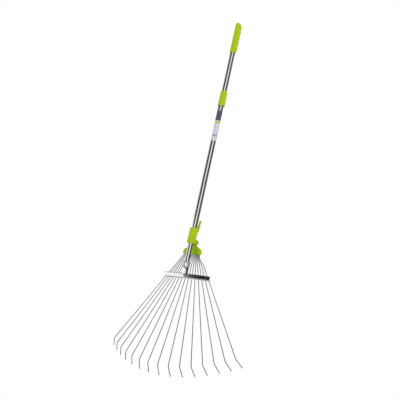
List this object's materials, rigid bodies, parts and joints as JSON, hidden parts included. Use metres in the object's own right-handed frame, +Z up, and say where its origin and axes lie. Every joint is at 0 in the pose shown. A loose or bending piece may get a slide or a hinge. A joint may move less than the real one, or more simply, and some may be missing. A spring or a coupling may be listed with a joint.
{
  "type": "leaf rake",
  "caption": "Telescopic leaf rake: lime grip, chromed pole with twist lock, and a cam-locked slider that spreads or narrows a fan of hooked spring wires through a slotted crossbar.",
  "frame": {"origin": "on the pole's axis at the middle of the bare band of the lower tube that a wall clip holds, 540 mm above the crossbar's lower edge", "axes": "+Z up the pole towards the grip, X along the crossbar, hooks point to +Y"},
  "size_m": [0.6994, 0.0947, 1.5092],
  "materials": {
    "lime_plastic": "satin moulded",
    "chromed_steel": "polished",
    "spring_wire": "zinc plated, bright",
    "galvanised_sheet": "zinc plated, satin",
    "zinc_steel": "zinc plated",
    "black_nylon": "matte",
    "printed_film": "glossy film"
  },
  "bodies": {
    "pole": {"lower_tube": "chromed_steel", "label_sleeve": "printed_film", "collet": "black_nylon", "crossbar": "galvanised_sheet", "crossbar_bolt": "zinc_steel", "crossbar_washer": "zinc_steel", "crossbar_nut": "zinc_steel"},
    "upper_pole": {"upper_tube": "chromed_steel", "guide_bush": "black_nylon", "grip": "lime_plastic"},
    "collar": {"lock_collar": "lime_plastic"},
    "slider": {"slider_sleeve": "lime_plastic", "pressure_pad": "black_nylon", "lever_pin": "zinc_steel", "clamp_bolt": "zinc_steel", "clamp_nut": "zinc_steel", "holder_front": "lime_plastic", "holder_back": "lime_plastic", "holder_screws": "zinc_steel", "tine_roots": "spring_wire"},
    "lever": {"cam_lever": "lime_plastic"},
    "tine_01": {"tine_01": "spring_wire"},
    "tine_02": {"tine_02": "spring_wire"},
    "tine_03": {"tine_03": "spring_wire"},
    "tine_04": {"tine_04": "spring_wire"},
    "tine_05": {"tine_05": "spring_wire"},
    "tine_06": {"tine_06": "spring_wire"},
    "tine_07": {"tine_07": "spring_wire"},
    "tine_08": {"tine_08": "spring_wire"},
    "tine_09": {"tine_09": "spring_wire"},
    "tine_10": {"tine_10": "spring_wire"},
    "tine_11": {"tine_11": "spring_wire"},
    "tine_12": {"tine_12": "spring_wire"},
    "tine_13": {"tine_13": "spring_wire"},
    "tine_14": {"tine_14": "spring_wire"},
    "tine_15": {"tine_15": "spring_wire"}
  },
  "joints": [
    {"name": "telescope", "type": "slide", "parent": "pole", "child": "upper_pole", "axis": [0, 0, 1], "range_m": [-0.16, 0.35]},
    {"name": "collar_twist", "type": "hinge", "parent": "pole", "child": "collar", "pos_m": [0, 0, 0.227], "axis": [0, 0, 1], "range_deg": [0, 90]},
    {"name": "tine_spread", "type": "slide", "parent": "pole", "child": "slider", "axis": [0, 0, 1], "range_m": [0, 0.25]},
    {"name": "cam_lever_swing", "type": "hinge", "parent": "slider", "child": "lever", "pos_m": [0, 0.0185, -0.341], "axis": [-1, 0, 0], "range_deg": [0, 105]},
    {"name": "tine_01_swing", "type": "hinge", "parent": "slider", "child": "tine_01", "pos_m": [-0.039, 0.022, -0.435], "axis": [-0.0088, -1, 0], "range_deg": [0, 24.91], "deforming": ["tine_01"]},
    {"name": "tine_02_swing", "type": "hinge", "parent": "slider", "child": "tine_02", "pos_m": [-0.03343, 0.02348, -0.435], "axis": [0.0526, -0.9986, 0], "range_deg": [0, 22.44], "deforming": ["tine_02"]},
    {"name": "tine_03_swing", "type": "hinge", "parent": "slider", "child": "tine_03", "pos_m": [-0.02786, 0.02472, -0.435], "axis": [0.1258, -0.9921, 0], "range_deg": [0, 19.65], "deforming": ["tine_03"]},
    {"name": "tine_04_swing", "type": "hinge", "parent": "slider", "child": "tine_04", "pos_m": [-0.02229, 0.02573, -0.435], "axis": [0.2179, -0.976, 0], "range_deg": [0, 16.58], "deforming": ["tine_04"]},
    {"name": "tine_05_swing", "type": "hinge", "parent": "slider", "child": "tine_05", "pos_m": [-0.01671, 0.02651, -0.435], "axis": [0.3425, -0.9395, 0], "range_deg": [0, 13.31], "deforming": ["tine_05"]},
    {"name": "tine_06_swing", "type": "hinge", "parent": "slider", "child": "tine_06", "pos_m": [-0.01114, 0.02706, -0.435], "axis": [0.5259, -0.8505, 0], "range_deg": [0, 10.03], "deforming": ["tine_06"]},
    {"name": "tine_07_swing", "type": "hinge", "parent": "slider", "child": "tine_07", "pos_m": [-0.00557, 0.02739, -0.435], "axis": [0.7976, -0.6032, 0], "range_deg": [0, 7.17], "deforming": ["tine_07"]},
    {"name": "tine_08_swing", "type": "hinge", "parent": "slider", "child": "tine_08", "pos_m": [0, 0.0275, -0.435], "axis": [1, 0, 0], "range_deg": [0, 5.87], "deforming": ["tine_08"]},
    {"name": "tine_09_swing", "type": "hinge", "parent": "slider", "child": "tine_09", "pos_m": [0.00557, 0.02739, -0.435], "axis": [0.7976, 0.6032, 0], "range_deg": [0, 7.17], "deforming": ["tine_09"]},
    {"name": "tine_10_swing", "type": "hinge", "parent": "slider", "child": "tine_10", "pos_m": [0.01114, 0.02706, -0.435], "axis": [0.5259, 0.8505, 0], "range_deg": [0, 10.03], "deforming": ["tine_10"]},
    {"name": "tine_11_swing", "type": "hinge", "parent": "slider", "child": "tine_11", "pos_m": [0.01671, 0.02651, -0.435], "axis": [0.3425, 0.9395, 0], "range_deg": [0, 13.31], "deforming": ["tine_11"]},
    {"name": "tine_12_swing", "type": "hinge", "parent": "slider", "child": "tine_12", "pos_m": [0.02229, 0.02573, -0.435], "axis": [0.2179, 0.976, 0], "range_deg": [0, 16.58], "deforming": ["tine_12"]},
    {"name": "tine_13_swing", "type": "hinge", "parent": "slider", "child": "tine_13", "pos_m": [0.02786, 0.02472, -0.435], "axis": [0.1258, 0.9921, 0], "range_deg": [0, 19.65], "deforming": ["tine_13"]},
    {"name": "tine_14_swing", "type": "hinge", "parent": "slider", "child": "tine_14", "pos_m": [0.03343, 0.02348, -0.435], "axis": [0.0526, 0.9986, 0], "range_deg": [0, 22.44], "deforming": ["tine_14"]},
    {"name": "tine_15_swing", "type": "hinge", "parent": "slider", "child": "tine_15", "pos_m": [0.039, 0.022, -0.435], "axis": [-0.0088, 1, 0], "range_deg": [0, 24.91], "deforming": ["tine_15"]}
  ],
  "couplings": [
    {"joint": "tine_01_swing", "follows": "tine_spread", "rad_per_m": 1.7377},
    {"joint": "tine_02_swing", "follows": "tine_spread", "rad_per_m": 1.5651},
    {"joint": "tine_03_swing", "follows": "tine_spread", "rad_per_m": 1.3705},
    {"joint": "tine_04_swing", "follows": "tine_spread", "rad_per_m": 1.1563},
    {"joint": "tine_05_swing", "follows": "tine_spread", "rad_per_m": 0.92819},
    {"joint": "tine_06_swing", "follows": "tine_spread", "rad_per_m": 0.69875},
    {"joint": "tine_07_swing", "follows": "tine_spread", "rad_per_m": 0.49934},
    {"joint": "tine_08_swing", "follows": "tine_spread", "rad_per_m": 0.40871},
    {"joint": "tine_09_swing", "follows": "tine_spread", "rad_per_m": 0.49934},
    {"joint": "tine_10_swing", "follows": "tine_spread", "rad_per_m": 0.69875},
    {"joint": "tine_11_swing", "follows": "tine_spread", "rad_per_m": 0.92819},
    {"joint": "tine_12_swing", "follows": "tine_spread", "rad_per_m": 1.1563},
    {"joint": "tine_13_swing", "follows": "tine_spread", "rad_per_m": 1.3705},
    {"joint": "tine_14_swing", "follows": "tine_spread", "rad_per_m": 1.5651},
    {"joint": "tine_15_swing", "follows": "tine_spread", "rad_per_m": 1.7377}
  ]
}
